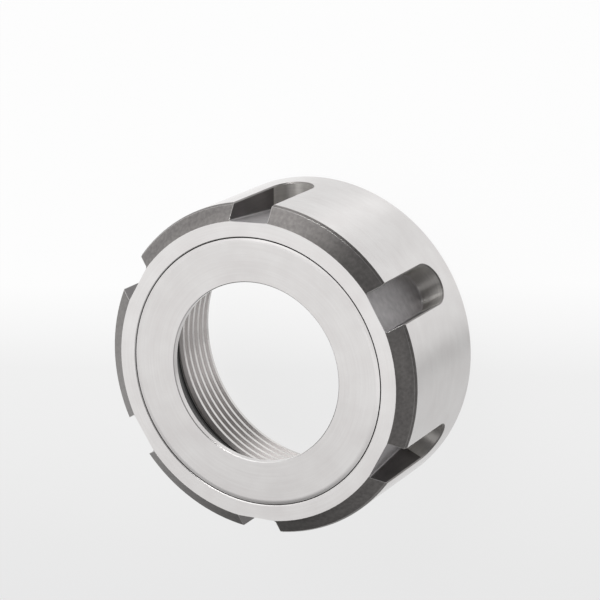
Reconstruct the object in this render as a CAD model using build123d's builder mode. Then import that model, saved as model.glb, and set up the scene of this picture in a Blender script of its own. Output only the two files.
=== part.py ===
from build123d import *
import math
import os

# Collet nut for a size 32 collet: a threaded nut body whose pressure ring runs on a row of balls.
# The nut stands on its back face at Z = 0, its axis is Z and its front face looks up.
# A slot is centred on +X. All sizes are millimetres.

# Spindle thread M40 x 1.5, its bore cut near the upper limit of the minor diameter
thread_diameter = 40.0
thread_pitch = 1.5
thread_bore_allowance = 0.14
thread_lead_in = 1.58
thread_relief_depth = 0.4
thread_relief_width = 0.72

# Nut body, its radial sizes measured outwards from the thread and inwards from the outside
nut_length = 22.5
body_wall = 5.0
nose_cone_width = 2.4
nose_cone_length = 1.85
front_rim_width = 2.4
edge_break = 0.3
back_chamfer = 1.0
counterbore_chamfer = 0.12

# Spanner slots, milled in two sets of three; within a set they are evenly spaced
slots_in_a_set = 3
second_set_angle = 62.0
slot_width = 6.2
slot_depth = 2.6
slot_length = 17.25
slot_floor_radius = 0.3
slot_rim_break = 0.2

# Running gaps between the pressure ring and the body
flange_gap = 0.14
flange_end_gap = 0.2
barrel_gap = 0.25
ring_end_gap = 0.6

# Pressure ring, from its rim inwards and from its front face backwards
ring_flange_thickness = 2.6
ring_flange_step = 1.26
ring_barrel_wall = 2.05
ring_rim_chamfer_width = 0.45
ring_rim_chamfer_depth = 0.12
ring_bore_chamfer = 0.12
ring_bore_land = 0.88
ring_barrel_chamfer = 0.3
ring_mouth_wall = 1.05
ring_mouth_depth = 0.57

# Seat for the collet's head, and the eccentric lip that draws the collet out
collet_cone_angle = 30.0
collet_cone_width = 3.19
head_pocket_length = 0.4
lip_height = 1.2
lip_offset = 0.9
lip_thickness = 0.9
lip_chamfer = 0.2

# Ball row
ball_diameter = 3.0
ball_spacing_gap = 0.04
race_clearance = 0.04
race_land = 0.46

# Ball loading hole and its plug
plug_angle = 210.0
ball_passage_clearance = 0.1
plug_nose_clearance = 0.05
plug_shoulder = 0.4
plug_thread_clearance = 0.05
plug_seat_wall = 1.0
plug_nose_lift = 0.8
plug_recess = 0.2
plug_rim_chamfer = 0.25
plug_hole_chamfer = 0.3
socket_across_flats = 2.0
socket_depth = 1.6

# Radii that follow from the sizes above
thread_radius = thread_diameter / 2
minor_radius = thread_radius - thread_pitch * 5 / 8 * math.cos(math.radians(30))
crest_radius = minor_radius + thread_bore_allowance
relief_radius = thread_radius + thread_relief_depth
nut_radius = thread_radius + body_wall
boss_radius = nut_radius - nose_cone_width
counterbore_radius = boss_radius - front_rim_width
slot_floor = nut_radius - slot_depth
flange_radius = counterbore_radius - flange_gap
barrel_radius = flange_radius - ring_flange_step
land_radius = barrel_radius + barrel_gap
mouth_radius = barrel_radius - ring_mouth_wall
pocket_radius = barrel_radius - ring_barrel_wall
bore_radius = pocket_radius - collet_cone_width
lip_radius = pocket_radius - lip_height + lip_offset
pitch_radius = barrel_radius + barrel_gap / 2
race_radius = ball_diameter / 2 + race_clearance

# Heights above the back face that follow from the sizes above
slot_back = nut_length - slot_length
slot_end_height = slot_back + slot_width / 2
cone_foot = nut_length - nose_cone_length - edge_break
flange_back = nut_length - ring_flange_thickness
counterbore_floor = flange_back - flange_end_gap
ball_height = flange_back - race_land - race_radius
cone_top = nut_length - ring_bore_chamfer - ring_bore_land
cone_bottom = cone_top - collet_cone_width / math.tan(math.radians(collet_cone_angle))
lip_top = cone_bottom - head_pocket_length
lip_bottom = lip_top - lip_thickness
ring_back = lip_bottom - ring_mouth_depth
land_bottom = ring_back - ring_end_gap
relief_top = land_bottom - (relief_radius - land_radius)
relief_bottom = relief_top - thread_relief_width
thread_top = relief_bottom - (relief_radius - crest_radius)

# The ball row, and the plug, whose plane stands across the loading hole's axis
ball_count = int(math.pi / math.asin((ball_diameter + ball_spacing_gap) / 2 / pitch_radius))
passage_radius = ball_diameter / 2 + ball_passage_clearance
plug_radius = passage_radius + plug_shoulder
plug_seat = pitch_radius + race_radius + plug_seat_wall
plug_face = nut_radius - plug_recess
plug_direction = (math.cos(math.radians(plug_angle)), math.sin(math.radians(plug_angle)), 0)
plug_plane = Plane(origin=(0, 0, ball_height), x_dir=(0, 0, 1), z_dir=plug_direction)
plug_axis = Axis((0, 0, ball_height), plug_direction)

os.makedirs("parts", exist_ok=True)

# Cutter for one spanner slot, open at the front face. An end mill standing along the nut's radius rounds
# its end, and the cutter's corners leave a small radius along the floor
with BuildPart() as slot_cutter:
    with BuildSketch(Plane.YZ.offset(slot_floor)):
        with Locations((0, slot_end_height)):
            Circle(slot_width / 2)
            Rectangle(slot_width, slot_length, align=(Align.CENTER, Align.MIN))
    extrude(amount=2 * slot_depth)
    fillet(slot_cutter.faces().sort_by(Axis.X)[0].edges(), radius=slot_floor_radius)

# Nut body: a turned blank with a stepped bore, a thread relief and the bore of the spindle thread
with BuildPart() as nut_body:
    with BuildSketch(Plane.XZ):
        with BuildLine():
            Polyline(
                (crest_radius + thread_lead_in, 0),
                (nut_radius, 0),
                (nut_radius, nut_length - nose_cone_length),
                (boss_radius, nut_length),
                (counterbore_radius, nut_length),
                (counterbore_radius, counterbore_floor),
                (land_radius, counterbore_floor),
                (land_radius, land_bottom),
                (relief_radius, relief_top),
                (relief_radius, relief_bottom),
                (crest_radius, thread_top),
                (crest_radius, thread_lead_in),
                close=True,
            )
        make_face()
    revolve(axis=Axis.Z)
    # the back chamfer, the break round the foot of the nose cone, and the mouth of the counterbore
    rims = nut_body.edges().filter_by(GeomType.CIRCLE).group_by(SortBy.RADIUS)[-1].sort_by(Axis.Z)
    chamfer(rims[0], length=back_chamfer)
    chamfer(rims[-1], length=edge_break)
    front_face = nut_body.faces().sort_by(Axis.Z)[-1]
    chamfer(front_face.edges().sort_by(SortBy.RADIUS)[0], length=counterbore_chamfer)
    # both sets of spanner slots
    for set_angle in (0, second_set_angle):
        with PolarLocations(0, slots_in_a_set, start_angle=set_angle):
            add(slot_cutter.part, mode=Mode.SUBTRACT)
    # the slots' rims are broken along the outside and left crisp across the cone
    outside = nut_body.faces().filter_by(GeomType.CYLINDER).sort_by(SortBy.AREA)[-1]
    rims = outside.edges().filter_by_position(Axis.Z, slot_back - slot_rim_break, cone_foot - slot_rim_break)
    chamfer(rims, length=slot_rim_break)
    # outer ball race
    with Locations((0, 0, ball_height)):
        Torus(pitch_radius, race_radius, mode=Mode.SUBTRACT)
    # ball loading hole: a passage just wider than a ball, opened out for the plug
    with BuildSketch(plug_plane.offset(pitch_radius)):
        Circle(passage_radius)
    extrude(amount=nut_radius, mode=Mode.SUBTRACT)
    with BuildSketch(plug_plane.offset(plug_seat)):
        Circle(plug_radius)
    extrude(amount=nut_radius, mode=Mode.SUBTRACT)
    with Locations(plug_plane.offset(nut_radius - plug_hole_chamfer)):
        Cone(
            plug_radius,
            plug_radius + 2 * plug_hole_chamfer,
            2 * plug_hole_chamfer,
            align=(Align.CENTER, Align.CENTER, Align.MIN),
            mode=Mode.SUBTRACT,
        )
nut_body.part.label = "nut_body"
export_step(nut_body.part, "parts/nut_body.step")

# Cutter for the bore of the lip, turned about an axis beside the ring's own and chamfered at both ends
with BuildPart() as lip_cutter:
    with BuildSketch(Plane.XZ):
        with BuildLine():
            Polyline(
                (-lip_offset, lip_bottom),
                (lip_radius + lip_chamfer - lip_offset, lip_bottom),
                (lip_radius - lip_offset, lip_bottom + lip_chamfer),
                (lip_radius - lip_offset, lip_top - lip_chamfer),
                (lip_radius + lip_chamfer - lip_offset, lip_top),
                (-lip_offset, lip_top),
                close=True,
            )
        make_face()
    revolve(axis=Axis((-lip_offset, 0, 0), (0, 0, 1)))

# Pressure ring: a flange level with the nut's front face, a barrel that carries the inner race, the cone
# that bears on the collet's head, and the lip behind it
with BuildPart() as pressure_ring:
    with BuildSketch(Plane.XZ):
        with BuildLine():
            Polyline(
                (bore_radius, nut_length),
                (flange_radius, nut_length),
                (flange_radius, flange_back),
                (barrel_radius, flange_back),
                (barrel_radius, ring_back),
                (mouth_radius, ring_back),
                (mouth_radius - ring_mouth_depth, lip_bottom),
                (lip_radius - 2 * lip_offset, lip_bottom),
                (lip_radius - 2 * lip_offset, lip_top),
                (pocket_radius, lip_top),
                (pocket_radius, cone_bottom),
                (bore_radius, cone_top),
                close=True,
            )
        make_face()
    revolve(axis=Axis.Z)
    front_face = pressure_ring.faces().sort_by(Axis.Z)[-1]
    chamfer(front_face.edges().sort_by(SortBy.RADIUS)[0], length=ring_bore_chamfer)
    front_face = pressure_ring.faces().sort_by(Axis.Z)[-1]
    chamfer(
        front_face.edges().sort_by(SortBy.RADIUS)[-1],
        length=ring_rim_chamfer_width,
        length2=ring_rim_chamfer_depth,
        reference=front_face,
    )
    back_face = pressure_ring.faces().sort_by(Axis.Z)[0]
    chamfer(back_face.edges().sort_by(SortBy.RADIUS)[-1], length=ring_barrel_chamfer)
    add(lip_cutter.part, mode=Mode.SUBTRACT)
    # inner ball race
    with Locations((0, 0, ball_height)):
        Torus(pitch_radius, race_radius, mode=Mode.SUBTRACT)
pressure_ring.part.label = "pressure_ring"
export_step(pressure_ring.part, "parts/pressure_ring.step")

# Loading plug: a headless screw whose nose completes the outer race over the loading hole
with BuildPart() as loading_plug:
    with BuildSketch(plug_plane.offset(plug_seat)):
        Circle(plug_radius - plug_thread_clearance)
    extrude(amount=plug_face - plug_seat)
    chamfer(loading_plug.edges().sort_by(plug_axis)[-1], length=plug_rim_chamfer)
    with BuildSketch(plug_plane.offset(plug_seat)):
        Circle(passage_radius - plug_nose_clearance)
    extrude(amount=pitch_radius + plug_nose_lift - plug_seat)
    with BuildSketch(plug_plane.offset(plug_face)):
        RegularPolygon(socket_across_flats / 2, 6, major_radius=False)
    extrude(amount=-socket_depth, mode=Mode.SUBTRACT)
    with Locations((0, 0, ball_height)):
        Torus(pitch_radius, race_radius, mode=Mode.SUBTRACT)
loading_plug.part.label = "loading_plug"
export_step(loading_plug.part, "parts/loading_plug.step")

# Balls: a full row, with only a hair's breadth between neighbours
for index in range(ball_count):
    angle = math.tau * index / ball_count
    with BuildPart() as ball:
        with Locations((pitch_radius * math.cos(angle), pitch_radius * math.sin(angle), ball_height)):
            Sphere(ball_diameter / 2)
    ball.part.label = f"ball_{index + 1:02d}"
    export_step(ball.part, f"parts/{ball.part.label}.step")
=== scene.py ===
import bmesh
import bpy
import math
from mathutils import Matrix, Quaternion, Vector


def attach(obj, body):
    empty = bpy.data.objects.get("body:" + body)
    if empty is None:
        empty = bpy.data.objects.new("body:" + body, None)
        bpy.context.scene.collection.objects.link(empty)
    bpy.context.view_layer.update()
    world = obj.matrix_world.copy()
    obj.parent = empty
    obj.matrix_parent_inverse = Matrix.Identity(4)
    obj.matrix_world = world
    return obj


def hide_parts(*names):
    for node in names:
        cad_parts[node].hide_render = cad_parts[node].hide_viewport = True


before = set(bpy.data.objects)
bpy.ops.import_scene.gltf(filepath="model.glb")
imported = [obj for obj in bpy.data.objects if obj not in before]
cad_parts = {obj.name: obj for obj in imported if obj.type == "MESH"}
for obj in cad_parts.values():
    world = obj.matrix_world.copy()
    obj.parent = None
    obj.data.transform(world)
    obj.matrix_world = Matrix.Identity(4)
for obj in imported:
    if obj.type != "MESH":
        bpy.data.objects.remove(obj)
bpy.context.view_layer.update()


# Nut body: one piece of hardened alloy steel, turned and milled, blacked all over and then ground bright
# on its outside and its two end faces. The spindle thread is cut last, so it is bare steel too
MM = 0.001
nut_radius = 25.0 * MM
nut_length = 22.5 * MM
nose_cone_length = 1.85 * MM
edge_break = 0.3 * MM
# two sets of three slots, the second milled 62 degrees on from the first
slot_angles = [math.radians(angle) for angle in (0, 62, 120, 182, 240, 302)]
slot_half_width = 3.1 * MM
slot_length = 17.25 * MM
slot_back = nut_length - slot_length
slot_end_front = slot_back + slot_half_width
slot_floor = 22.4 * MM
slot_foot = 0.3 * MM
slot_lean = math.tan(math.radians(4.3))
slot_rim = 0.25 * MM
thread_radius = 20.0 * MM
thread_pitch = 1.5 * MM
thread_half_angle = math.radians(30)
thread_top = 10.36 * MM
crest_radius = 19.328 * MM
relief_radius = 20.4 * MM
mouth_edge = 0.2 * MM
# how far a corner may lie from a surface and still count as on it, and how far the middle of a face may
corner_slack = 0.05 * MM
face_slack = 0.1 * MM


def merged_copy(name, source):
    """A copy of a CAD node's mesh with its loose triangles joined, ready to be worked on."""
    mesh = bpy.data.meshes.new(name)
    piece_mesh = bmesh.new()
    piece_mesh.from_mesh(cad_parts[source].data)
    bmesh.ops.remove_doubles(piece_mesh, verts=piece_mesh.verts, dist=0.001 * MM)
    piece_mesh.to_mesh(mesh)
    piece_mesh.free()
    # the normals of the loose triangles would no longer fit
    mesh.attributes.remove(mesh.attributes["custom_normal"])
    piece = bpy.data.objects.new(name, mesh)
    bpy.context.scene.collection.objects.link(piece)
    return piece


# the tool that cuts the thread: the groove's section wound up the axis, right-handed, from below the back
# face to past the thread's end. The flat at its root is an eighth of the pitch
steps_a_turn = 96
winding_start = -1.0 * MM
winding_end = thread_top + 1.2 * MM
winding_turns = math.ceil((winding_end - winding_start) / thread_pitch)
groove_mouth = 19.0 * MM
root_half = thread_pitch / 16
mouth_half = root_half + (thread_radius - groove_mouth) * math.tan(thread_half_angle)
winding = bmesh.new()
groove = winding.faces.new([
    winding.verts.new((groove_mouth, 0, winding_start - mouth_half)),
    winding.verts.new((thread_radius, 0, winding_start - root_half)),
    winding.verts.new((thread_radius, 0, winding_start + root_half)),
    winding.verts.new((groove_mouth, 0, winding_start + mouth_half)),
])
bmesh.ops.spin(
    winding,
    geom=groove.edges[:],
    cent=(0, 0, 0),
    axis=(0, 0, 1),
    dvec=(0, 0, thread_pitch / steps_a_turn),
    angle=math.tau * winding_turns,
    steps=steps_a_turn * winding_turns,
    use_merge=False,
    use_normal_flip=False,
    use_duplicate=False,
)
bmesh.ops.holes_fill(winding, edges=[edge for edge in winding.edges if edge.is_boundary], sides=4)
bmesh.ops.recalc_face_normals(winding, faces=winding.faces)
winding_mesh = bpy.data.meshes.new("thread_cutter")
winding.to_mesh(winding_mesh)
winding.free()
thread_cutter = bpy.data.objects.new("thread_cutter", winding_mesh)
bpy.context.scene.collection.objects.link(thread_cutter)

blank = merged_copy("nut_blank", "nut_body")
# the slots' floors lean in towards the closed ends, where the end mill was set to go deeper, and the ends
# lean with them
for slot in slot_angles:
    outwards = Vector((math.cos(slot), math.sin(slot), 0))
    for vert in blank.data.vertices:
        above_floor = vert.co.dot(outwards) - slot_floor
        sideways = abs(vert.co.cross(outwards).z)
        at_floor = abs(above_floor) < slot_foot + corner_slack and sideways < slot_half_width + corner_slack
        if at_floor and vert.co.z > slot_back - corner_slack:
            at_end = vert.co.z < slot_end_front + corner_slack
            vert.co -= outwards * slot_lean * (nut_length - vert.co.z)
            if at_end:
                vert.co.z += slot_lean * (nut_radius - vert.co.dot(outwards))

cut = blank.modifiers.new("thread", "BOOLEAN")
cut.operation = "DIFFERENCE"
cut.solver = "EXACT"
cut.object = thread_cutter
ready = bpy.context.evaluated_depsgraph_get()
nut_mesh = bpy.data.meshes.new_from_object(blank.evaluated_get(ready), depsgraph=ready)
nut_mesh.name = "threaded_nut_body"
nut = bpy.data.objects.new("threaded_nut_body", nut_mesh)
bpy.context.scene.collection.objects.link(nut)
bpy.data.objects.remove(blank)
bpy.data.objects.remove(thread_cutter)
# the cut leaves slivers where the thread's turns cross the bore, and most of them go
cleaning = bmesh.new()
cleaning.from_mesh(nut_mesh)
bmesh.ops.dissolve_degenerate(cleaning, edges=cleaning.edges, dist=0.002 * MM)
cleaning.to_mesh(nut_mesh)
cleaning.free()


def linear(hex_colour):
    """sRGB hex colour as the linear RGBA that a shader socket takes."""
    channels = [int(hex_colour[i : i + 2], 16) / 255 for i in (1, 3, 5)]
    return [c / 12.92 if c <= 0.04045 else ((c + 0.055) / 1.055) ** 2.4 for c in channels] + [1]


def node(tree, kind, links=(), stops=(), **settings):
    """A new shader node. Links give its inputs, by index or name, a value or another node's output.

    Stops are the places and colours of a ramp. A Map Range node goes from its inputs 1 and 2 to 3 and 4. A Mix
    node's share is its input 0, its numbers are 2 and 3, and its colours 6 and 7.
    """
    made = tree.nodes.new(kind)
    for name, value in settings.items():
        setattr(made, name, value)
    for socket, value in links:
        if isinstance(value, bpy.types.NodeSocket):
            tree.links.new(value, made.inputs[socket])
        else:
            made.inputs[socket].default_value = value
    if stops:
        elements = made.color_ramp.elements
        while len(elements) < len(stops):
            elements.new(1.0)
        for element, (place, colour) in zip(elements, stops):
            element.position = place
            element.color = colour
    return made


def new_material(name, sockets=()):
    """A material with a Principled shader, whose sockets are set by name."""
    material = bpy.data.materials.new(name)
    material.use_nodes = True
    shader = material.node_tree.nodes["Principled BSDF"]
    for socket, value in sockets:
        shader.inputs[socket].default_value = value
    return material


def from_axis(tree, place):
    """Distance of a point from the nut's axis."""
    flat = node(tree, "ShaderNodeVectorMath", [(0, place), (1, (1, 1, 0))], operation="MULTIPLY")
    return node(tree, "ShaderNodeVectorMath", [(0, flat.outputs[0])], operation="LENGTH").outputs["Value"]


def turned_marks(tree, spacing_mm):
    """Noise coordinates for marks that run round the axis: fine across the cut, long around it."""
    marks_a_radian = 2
    place = node(tree, "ShaderNodeTexCoord").outputs["Object"]
    flat = node(tree, "ShaderNodeVectorMath", [(0, place), (1, (1, 1, 0))], operation="MULTIPLY")
    turn = node(tree, "ShaderNodeVectorMath", [(0, flat.outputs[0])], operation="NORMALIZE")
    height = node(tree, "ShaderNodeSeparateXYZ", [(0, place)]).outputs[2]
    across = node(tree, "ShaderNodeMath", [(0, from_axis(tree, place)), (1, height)], operation="ADD")
    lines = node(
        tree, "ShaderNodeMath", [(0, across.outputs[0]), (1, 1 / (spacing_mm * MM))], operation="MULTIPLY"
    )
    long_turn = node(
        tree, "ShaderNodeVectorMath", [(0, turn.outputs[0]), (3, marks_a_radian)], operation="SCALE"
    )
    lift = node(tree, "ShaderNodeCombineXYZ", [(2, lines.outputs[0])])
    marks = node(
        tree, "ShaderNodeVectorMath", [(0, long_turn.outputs[0]), (1, lift.outputs[0])], operation="ADD"
    )
    return marks.outputs[0]


def milled_marks(tree, spacing_mm):
    """Noise coordinates for the steps that an end mill leaves round a slot, one above the other."""
    step_length = 4 * MM
    place = node(tree, "ShaderNodeTexCoord").outputs["Object"]
    depth = node(
        tree,
        "ShaderNodeMath",
        [(0, from_axis(tree, place)), (1, 1 / (spacing_mm * MM))],
        operation="MULTIPLY",
    )
    long_way = node(tree, "ShaderNodeVectorMath", [(0, place), (3, 1 / step_length)], operation="SCALE")
    lift = node(tree, "ShaderNodeCombineXYZ", [(0, depth.outputs[0])])
    marks = node(
        tree, "ShaderNodeVectorMath", [(0, long_way.outputs[0]), (1, lift.outputs[0])], operation="ADD"
    )
    return marks.outputs[0]


def machined(name, low, high, roughness, marks, spacing_mm, stretch=0.0, cloud_mm=4.0, metal=1.0):
    """Steel whose turning, grinding or milling marks vary its shade and its gloss, with faint clouds."""
    cloud_share = 0.6
    gloss_swing = 0.05
    # noise seldom leaves these bounds, so the whole range of shades and gloss shows between them
    shade_bounds = (0.35, 0.65)
    gloss_bounds = (0.3, 0.7)
    material = new_material(name, [
        ("Metallic", metal),
        # marks that run round the axis spread a highlight across themselves
        ("Anisotropic", stretch),
        ("Anisotropic Rotation", 0.25),
    ])
    tree = material.node_tree
    shader = tree.nodes["Principled BSDF"]
    lines = node(
        tree, "ShaderNodeTexNoise", [("Vector", marks(tree, spacing_mm)), ("Scale", 1.0), ("Detail", 2.0)]
    )
    place = node(tree, "ShaderNodeTexCoord").outputs["Object"]
    clouds = node(
        tree, "ShaderNodeTexNoise", [("Vector", place), ("Scale", 1 / (cloud_mm * MM)), ("Detail", 4.0)]
    )
    both = node(tree, "ShaderNodeMix", [(0, cloud_share), (2, lines.outputs[0]), (3, clouds.outputs[0])])
    spread = node(
        tree, "ShaderNodeMapRange", [(0, both.outputs[0]), (1, shade_bounds[0]), (2, shade_bounds[1])]
    )
    shade = node(
        tree,
        "ShaderNodeMix",
        [(0, spread.outputs[0]), (6, linear(low)), (7, linear(high))],
        data_type="RGBA",
    )
    tree.links.new(shade.outputs[2], shader.inputs["Base Color"])
    rough = node(
        tree,
        "ShaderNodeMapRange",
        [
            (0, lines.outputs[0]),
            (1, gloss_bounds[0]),
            (2, gloss_bounds[1]),
            (3, roughness * (1 - gloss_swing)),
            (4, roughness * (1 + gloss_swing)),
        ],
    )
    tree.links.new(rough.outputs[0], shader.inputs["Roughness"])
    round_axis = node(tree, "ShaderNodeTangent", direction_type="RADIAL", axis="Z")
    tree.links.new(round_axis.outputs[0], shader.inputs["Tangent"])
    return material


# Cylindrical grinding leaves fine rings, so the bright outside mirrors the room in long soft streaks
ground_outside = machined("ground_steel_outside", "#dedbda", "#e6e4e3", 0.24, turned_marks, 0.3, stretch=0.7)
# The boss was ground finer than the ring, so it is a shade brighter
ground_boss = machined("ground_steel_boss", "#e2dfde", "#ebe9e8", 0.3, turned_marks, 0.3, stretch=0.4)
# Bare steel on the thread's crests, which the finishing pass of the boring tool left bright
bored_crest = machined("bored_steel_crest", "#cfccca", "#dad8d6", 0.2, turned_marks, 0.2, stretch=0.5)
# The threading tool tore the flanks a little, and oil has stained them
cut_flank = machined("cut_thread_flank_steel", "#d0cbc9", "#dcd7d5", 0.35, turned_marks, 0.2, stretch=0.3)
# The end mill's tip left the slots' floors matt, and a thin oxide greys them and scatters the light
milled_floor = machined(
    "milled_slot_floor_steel", "#9b9899", "#b3b0b1", 0.45, milled_marks, 0.3, cloud_mm=1.0, metal=0.4
)
# Its flutes cut the slots' long walls, whose steel is set darker than at the slots' ends: a painted shade
milled_slot_wall_painted_shade = machined("milled_slot_wall_steel_painted_darker", "#787575", "#868383", 0.42, milled_marks, 0.3)
# At the slots' ends it left rings that draw a highlight out along the cutter; their steel is set lighter than
# the walls, a painted light
slot_end_painted_light = machined(
    "milled_slot_end_steel_painted_lighter", "#bcb9b6", "#d0cdc9", 0.46, milled_marks, 0.3, stretch=0.95, metal=0.85
)
# The rims were broken by hand before the blacking, so they frame each slot with a dark grey line
broken_rim = machined("broken_rim_steel", "#84817f", "#94918f", 0.4, turned_marks, 0.3)
# Black oxide is a thin skin of magnetite on the steel: dark, satin and finely mottled brown and grey
black_oxide = machined("black_oxide_steel", "#757271", "#8c8987", 0.34, turned_marks, 0.25, cloud_mm=0.5)
# handling has rubbed it off the sharp corners, down to bare steel, but not in the slots or in the bore
rub_width = 0.16 * MM
rub_start = slot_floor + 0.2 * MM
rub_full = slot_floor + 0.4 * MM
# cosines between a corner's rounded and its true normal where the rubbing starts and where it is complete
rub_faint = 0.997
rub_bright = 0.96
oxide_tree = black_oxide.node_tree
rounded = node(oxide_tree, "ShaderNodeBevel", [("Radius", rub_width)], samples=8).outputs[0]
smooth = node(oxide_tree, "ShaderNodeNewGeometry").outputs["Normal"]
alike = node(oxide_tree, "ShaderNodeVectorMath", [(0, rounded), (1, smooth)], operation="DOT_PRODUCT")
corner = node(oxide_tree, "ShaderNodeMapRange", [(0, alike.outputs["Value"]), (1, rub_faint), (2, rub_bright)])
oxide_place = node(oxide_tree, "ShaderNodeTexCoord").outputs["Object"]
handled = node(
    oxide_tree, "ShaderNodeMapRange", [(0, from_axis(oxide_tree, oxide_place)), (1, rub_start), (2, rub_full)]
)
rubbed = node(
    oxide_tree, "ShaderNodeMath", [(0, corner.outputs[0]), (1, handled.outputs[0])], operation="MULTIPLY"
)
bare_steel = node(
    oxide_tree,
    "ShaderNodeBsdfPrincipled",
    [("Base Color", linear("#dedcda")), ("Metallic", 1.0), ("Roughness", 0.35), ("Normal", rounded)],
)
oxide_skin = oxide_tree.nodes["Principled BSDF"]
worn_oxide = node(
    oxide_tree,
    "ShaderNodeMixShader",
    [(0, rubbed.outputs[0]), (1, oxide_skin.outputs[0]), (2, bare_steel.outputs[0])],
)
oxide_tree.links.new(worn_oxide.outputs[0], oxide_tree.nodes["Material Output"].inputs["Surface"])


def nut_finish(face):
    """The finish of one face of the nut, from the surface that it lies on."""
    # how far at least the normals of these surfaces point along the axis or away from it
    level_end = 0.999
    round_outside = 0.999
    round_crest = 0.99
    leaning_cone = 0.2
    broken_edge = 0.5
    leaning_end = 0.02
    x, y, z = face.center
    radius = math.hypot(x, y)
    from_front = nut_length - z
    outward = (face.normal.x * x + face.normal.y * y) / radius
    upward = face.normal.z
    from_slot = min((math.remainder(math.atan2(y, x) - slot, math.tau) for slot in slot_angles), key=abs)
    sideways = abs(radius * math.sin(from_slot))
    above_floor = radius * math.cos(from_slot) - slot_floor + slot_lean * from_front
    in_slot = sideways < slot_half_width + slot_rim and from_front < slot_length + slot_rim
    in_bore = radius < relief_radius + face_slack
    on_end_face = abs(upward) > level_end
    if in_bore and z < thread_top:
        on_crest = -outward > round_crest and radius < crest_radius + corner_slack
        return bored_crest if on_crest or on_end_face else cut_flank
    if in_bore:
        return black_oxide if from_front > mouth_edge else ground_boss
    if on_end_face and (from_front < face_slack or not in_slot):
        return ground_boss
    if outward > round_outside and radius > nut_radius - face_slack:
        return ground_outside
    if from_front < nose_cone_length + edge_break and upward > leaning_cone:
        return black_oxide
    if not in_slot:
        return ground_outside
    if outward > broken_edge and radius > nut_radius - slot_rim - corner_slack:
        return broken_rim
    if above_floor < slot_foot / 2:
        return milled_floor
    # the slots' ends take the lighter steel, a painted light, and their long walls the darker one, a painted
    # shade
    return slot_end_painted_light if upward > leaning_end else milled_slot_wall_painted_shade


nut_finishes = [
    ground_outside, ground_boss, black_oxide, milled_floor, milled_slot_wall_painted_shade, slot_end_painted_light, broken_rim, bored_crest,
    cut_flank,
]
nut_mesh.materials.clear()
for finish in nut_finishes:
    nut_mesh.materials.append(finish)
for face in nut_mesh.polygons:
    face.material_index = nut_finishes.index(nut_finish(face))
nut_crease = math.radians(20)
nut_mesh.shade_smooth()
nut_mesh.set_sharp_from_angle(angle=nut_crease)
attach(nut, "nut")
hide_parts("nut_body")


# Pressure ring: a loose ring of hardened steel, ground on its front face, that turns in the nut's mouth on
# the ball row. Behind its bore it opens as the cone that presses the collet, and its lip draws the collet out
ring_bore_radius = 13.56 * MM
ring_land_back = 21.4 * MM
ring_rim_radius = 19.61 * MM
ring_rim_rounding = 0.2 * MM
ring = merged_copy("ground_pressure_ring", "pressure_ring")
ring_mesh = ring.data


def on_ring_rim(vert):
    """Whether a corner lies on the edge where the ring's face meets the chamfer round its rim."""
    off_rim = abs(math.hypot(*vert.co.xy) - ring_rim_radius)
    return off_rim < corner_slack and abs(vert.co.z - nut_length) < corner_slack


rounding = bmesh.new()
rounding.from_mesh(ring_mesh)
bmesh.ops.bevel(
    rounding,
    geom=[edge for edge in rounding.edges if all(on_ring_rim(vert) for vert in edge.verts)],
    offset=ring_rim_rounding,
    segments=5,
    profile=0.5,
    affect="EDGES",
    material=-1,
)
rounding.to_mesh(ring_mesh)
rounding.free()

# Face grinding on a turning table leaves rings so fine that the face looks satin, with soft streaks
ground_ring = machined("ground_steel_ring", "#dcd9d8", "#e5e3e2", 0.3, turned_marks, 0.3, stretch=0.4)
# A dull near-black coat, not metal, on all of the ring but its face and bore land: a painted shade that keeps
# the inside of the ring dark
ring_painted_shade_coat = machined("near_black_steel_painted_shade", "#181716", "#232220", 0.6, turned_marks, 0.3, metal=0.0)
ring_finishes = [ground_ring, ring_painted_shade_coat]
for finish in ring_finishes:
    ring_mesh.materials.append(finish)
# all but the ground face and the bore land take the near-black coat, a painted shade
for face in ring_mesh.polygons:
    on_face = face.center.z > nut_length - face_slack
    on_land = math.hypot(*face.center.xy) < ring_bore_radius + face_slack and face.center.z > ring_land_back
    face.material_index = ring_finishes.index(ground_ring if on_face or on_land else ring_painted_shade_coat)
ring_crease = math.radians(12)
ring_mesh.shade_smooth()
ring_mesh.set_sharp_from_angle(angle=ring_crease)
# the face stays flat to the eye up to where the rounding starts
even = ring.modifiers.new("face_weighted_normals", "WEIGHTED_NORMAL")
even.keep_sharp = True
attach(ring, "ring")
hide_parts("pressure_ring")


# Ball row: thirty-nine hardened and polished bearing balls in one full row, which carry the ring's load
# both ways. They mirror like chrome, under a thin film of oil that dulls them in patches
polished_ball = new_material("polished_bearing_steel", [("Metallic", 1.0), ("Base Color", linear("#d9d9da"))])
ball_tree = polished_ball.node_tree
oil_patch = 0.8 * MM
clean_gloss = 0.05
oily_gloss = 0.12
ball_place = node(ball_tree, "ShaderNodeTexCoord").outputs["Object"]
oil_film = node(ball_tree, "ShaderNodeTexNoise", [("Vector", ball_place), ("Scale", 1 / oil_patch)])
ball_gloss = node(
    ball_tree,
    "ShaderNodeMapRange",
    [(0, oil_film.outputs[0]), (1, 0.3), (2, 0.7), (3, clean_gloss), (4, oily_gloss)],
)
ball_tree.links.new(ball_gloss.outputs[0], ball_tree.nodes["Principled BSDF"].inputs["Roughness"])
for name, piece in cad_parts.items():
    if name.startswith("ball_"):
        piece.data.materials.clear()
        piece.data.materials.append(polished_ball)


# Loading plug: a headless screw of blacked steel with a hexagon socket, which closes the hole that the balls
# go in by and completes the race over it. The oxide on its turned end is a satin dark grey
blacked_screw = machined("blacked_screw_steel", "#686462", "#7c7876", 0.38, turned_marks, 0.3)
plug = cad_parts["loading_plug"]
plug.data.materials.clear()
plug.data.materials.append(blacked_screw)
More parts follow.
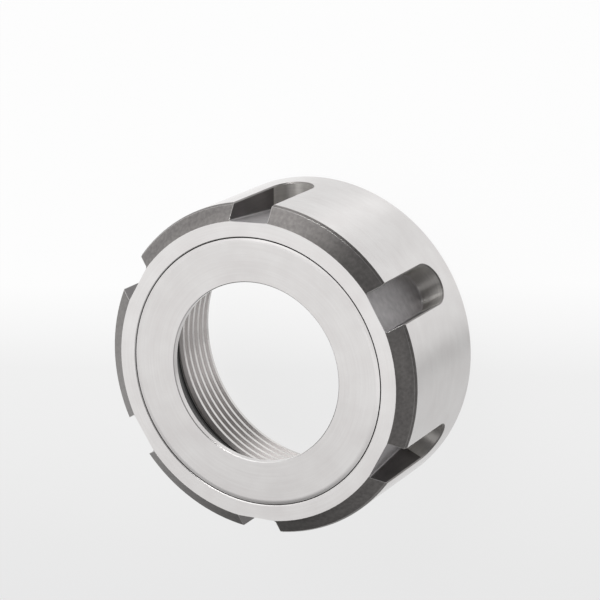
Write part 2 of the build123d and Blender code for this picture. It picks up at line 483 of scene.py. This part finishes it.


# Floor: a plain white table that the nut stands on, back face down. Its glow for the camera is painted with a
# shade that fades from white beyond the nut to a pale grey in front, and the metal mirrors the tent's lower
# third in its place
floor_reach = 3.0
floor_mesh = bpy.data.meshes.new("studio_floor")
floor_plane = bmesh.new()
bmesh.ops.create_grid(floor_plane, x_segments=1, y_segments=1, size=floor_reach)
floor_plane.to_mesh(floor_mesh)
floor_plane.free()
floor = bpy.data.objects.new("studio_floor", floor_mesh)
bpy.context.scene.collection.objects.link(floor)
floor.visible_glossy = False
# Matt white laminate, which scatters the light evenly
table_white = new_material("matt_white_laminate", [("Base Color", linear("#f2f2f2")), ("Roughness", 0.6)])
table_tree = table_white.node_tree
# its tones as the camera sees them, by the distance in millimetres past the nut's axis towards the top of
# the photograph
fade_way = (0.399, 0.9175, 0)
fade_front = -60
fade_back = 15
# the tones are a painted shade: the light is drawn falling off from white at the back to pale grey at the
# front
painted_falloff_tones = (
    (-60, "#e4e4e5"), (-36, "#e8e8e8"), (-20, "#ececec"), (-6, "#efefef"), (1.5, "#f7f7f7"), (8, "#fdfdfd"),
)
table_place = node(table_tree, "ShaderNodeTexCoord").outputs["Object"]
away = node(table_tree, "ShaderNodeVectorMath", [(0, table_place), (1, fade_way)], operation="DOT_PRODUCT")
fade = node(
    table_tree,
    "ShaderNodeMapRange",
    [(0, away.outputs["Value"]), (1, fade_front * MM), (2, fade_back * MM)],
)
painted_falloff_tone = node(
    table_tree,
    "ShaderNodeValToRGB",
    [(0, fade.outputs[0])],
    [((place - fade_front) / (fade_back - fade_front), linear(tone)) for place, tone in painted_falloff_tones],
)
# the share that isn't glow keeps the nut's shadow
glow_strength = 1.03
most_glow = 0.9
glow = node(table_tree, "ShaderNodeEmission", [("Color", painted_falloff_tone.outputs[0]), ("Strength", glow_strength)])
table_seen = node(table_tree, "ShaderNodeLightPath").outputs["Is Camera Ray"]
glow_share = node(table_tree, "ShaderNodeMath", [(0, table_seen), (1, most_glow)], operation="MULTIPLY")
table_mix = node(
    table_tree,
    "ShaderNodeMixShader",
    [
        (0, glow_share.outputs[0]),
        (1, table_tree.nodes["Principled BSDF"].outputs[0]),
        (2, glow.outputs[0]),
    ],
)
table_tree.links.new(table_mix.outputs[0], table_tree.nodes["Material Output"].inputs["Surface"])
floor_mesh.materials.append(table_white)


# Studio: a tent of white cloth. Its lower third, its walls and its roof are lit each in its own way, as the
# cards and the panels that stand round it let light through. A card and a lamp stand inside it. Its angles run
# round the axis from +X, which is the camera's side, and the photograph's top lies at about 66 degrees
brightest = 2.0
# below: the table's glow, with the dark seam between two cards
lower_cards = (
    (-180, 1.05), (-124, 0.73), (-60, 0.73), (-55, 0.56), (-49, 0.54), (-43, 0.8), (-38, 0.88), (-12, 0.94),
    (0, 0.955), (20, 0.955), (30, 0.905), (52, 0.9), (60, 1.0), (68, 1.19), (77, 1.04), (86, 0.9), (106, 0.86),
    (124, 1.0), (144, 1.03), (158, 1.1), (172, 1.13), (180, 1.05),
)
# the walls: dim on the camera's side, a lit card beyond the nut, and the shade of the table's edge opposite
wall_cards = (
    (-180, 0.79), (-168, 0.49), (-154, 0.31), (-137, 0.17), (-121, 0.28), (-103, 0.43), (-58, 0.43),
    (-31, 0.31), (30, 0.21), (44, 0.2), (56, 0.71), (68, 1.09), (83, 1.28), (103, 1.12), (121, 0.98),
    (137, 1.06), (154, 0.88), (168, 0.87), (180, 0.79),
)
# the roof, by the cosine to a level direction across it: plain, then one lit panel, then dim
roof_way = (0.63, 0.78, 0)
roof_reach = 0.6
roof_panels = (
    (-0.5, 0.73), (-0.41, 0.76), (-0.31, 1.11), (-0.2, 1.26), (-0.12, 0.88), (-0.04, 0.55), (0.04, 0.92),
    (0.12, 1.5), (0.22, 1.15), (0.32, 0.46), (0.42, 0.28), (0.6, 0.26),
)
# how high, as the upward part of a direction, the walls and then the roof begin and are whole
wall_foot, wall_whole = -0.6, -0.3
roof_foot, roof_whole = 0.72, 0.82
# how far back, as its part along +Y, the roof ends and is still whole
roof_end, roof_last = 0.52, 0.42
world = bpy.data.worlds.new("white_tent")
world.use_nodes = True
bpy.context.scene.world = world
tent = world.node_tree
look = node(tent, "ShaderNodeTexCoord").outputs["Generated"]
way = node(tent, "ShaderNodeSeparateXYZ", [(0, look)])
turn = node(tent, "ShaderNodeMath", [(0, way.outputs[1]), (1, way.outputs[0])], operation="ARCTAN2")
round_tent = node(tent, "ShaderNodeMapRange", [(0, turn.outputs[0]), (1, -math.pi), (2, math.pi)])


def grey(light):
    """A plain light level as a colour."""
    return [light, light, light, 1]


def round_the_tent(cards):
    """A row of cards as the stops of a ramp that runs once round the tent."""
    return [((angle + 180) / 360, grey(light / brightest)) for angle, light in cards]


def with_round_light(behind, towards, edge, full, light):
    """A light with a round one before it, given by its direction and the cosines of its edge and full part."""
    facing = node(tent, "ShaderNodeVectorMath", [(0, look), (1, towards)], operation="DOT_PRODUCT")
    inside = node(
        tent,
        "ShaderNodeMapRange",
        [(0, facing.outputs["Value"]), (1, edge), (2, full)],
        interpolation_type="SMOOTHSTEP",
    )
    return node(
        tent,
        "ShaderNodeMix",
        [(0, inside.outputs[0]), (6, behind.outputs[2]), (7, grey(light))],
        data_type="RGBA",
    )


lower_light = node(tent, "ShaderNodeValToRGB", [(0, round_tent.outputs[0])], round_the_tent(lower_cards))
wall_light = node(tent, "ShaderNodeValToRGB", [(0, round_tent.outputs[0])], round_the_tent(wall_cards))
wall_share = node(
    tent,
    "ShaderNodeMapRange",
    [(0, way.outputs[2]), (1, wall_foot), (2, wall_whole)],
    interpolation_type="SMOOTHSTEP",
)
side_light = node(
    tent,
    "ShaderNodeMix",
    [(0, wall_share.outputs[0]), (6, lower_light.outputs[0]), (7, wall_light.outputs[0])],
    data_type="RGBA",
)
over = node(tent, "ShaderNodeVectorMath", [(0, look), (1, roof_way)], operation="DOT_PRODUCT")
across_roof = node(tent, "ShaderNodeMapRange", [(0, over.outputs["Value"]), (1, -roof_reach), (2, roof_reach)])
roof_light = node(
    tent,
    "ShaderNodeValToRGB",
    [(0, across_roof.outputs[0])],
    [((place + roof_reach) / (2 * roof_reach), grey(light / brightest)) for place, light in roof_panels],
)
# the roof stops short of the lit card beyond the nut, which stands up past it
roof_height = node(
    tent,
    "ShaderNodeMapRange",
    [(0, way.outputs[2]), (1, roof_foot), (2, roof_whole)],
    interpolation_type="SMOOTHSTEP",
)
roof_depth = node(
    tent,
    "ShaderNodeMapRange",
    [(0, way.outputs[1]), (1, roof_end), (2, roof_last)],
    interpolation_type="SMOOTHSTEP",
)
roof_share = node(
    tent, "ShaderNodeMath", [(0, roof_height.outputs[0]), (1, roof_depth.outputs[0])], operation="MULTIPLY"
)
tent_light = node(
    tent,
    "ShaderNodeMix",
    [(0, roof_share.outputs[0]), (6, side_light.outputs[2]), (7, roof_light.outputs[0])],
    data_type="RGBA",
)
# a small card high up beyond the nut, which the thread mirrors where its turns run out at the bore's lower end
card_lit = with_round_light(tent_light, towards=(0.06, 0.67, 0.74), edge=0.94, full=0.98, light=1.1)
# a small lamp low down beyond it, which draws a thin line of light along the ring's gap and the bore's rim
all_lit = with_round_light(card_lit, towards=(0.58, 0.79, 0.2), edge=0.988, full=0.995, light=4.5)
# the camera itself sees plain white round the table
tent_seen = node(tent, "ShaderNodeLightPath").outputs["Is Camera Ray"]
tent_strength = node(tent, "ShaderNodeMix", [(0, tent_seen), (2, brightest), (3, 1.0)])
tent_colour = node(
    tent, "ShaderNodeMix", [(0, tent_seen), (6, all_lit.outputs[2]), (7, linear("#ffffff"))], data_type="RGBA"
)
background = tent.nodes["Background"]
tent.links.new(tent_colour.outputs[2], background.inputs["Color"])
tent.links.new(tent_strength.outputs[0], background.inputs["Strength"])


# Camera: a long lens at the photographer's angle to the nut, turned as far as the nut lies on its side in
# the photograph. Its place, aim, roll and lens come from a fit to the nut's circles there
eye = Vector((0.1799562, 0.0077071, 0.3064226))
aim = Vector((0.0091966, 0.0064882, 0.0170458))
roll = math.radians(-117.2376)
lens = bpy.data.cameras.new("product_camera")
lens.sensor_width = 36
lens.lens = 138.51
camera = bpy.data.objects.new("product_camera", lens)
camera.location = eye
camera.rotation_mode = "QUATERNION"
camera.rotation_quaternion = (aim - eye).to_track_quat("-Z", "Y") @ Quaternion((0, 0, 1), roll)
bpy.context.scene.collection.objects.link(camera)
bpy.context.scene.camera = camera
bpy.context.scene.view_settings.view_transform = "Standard"
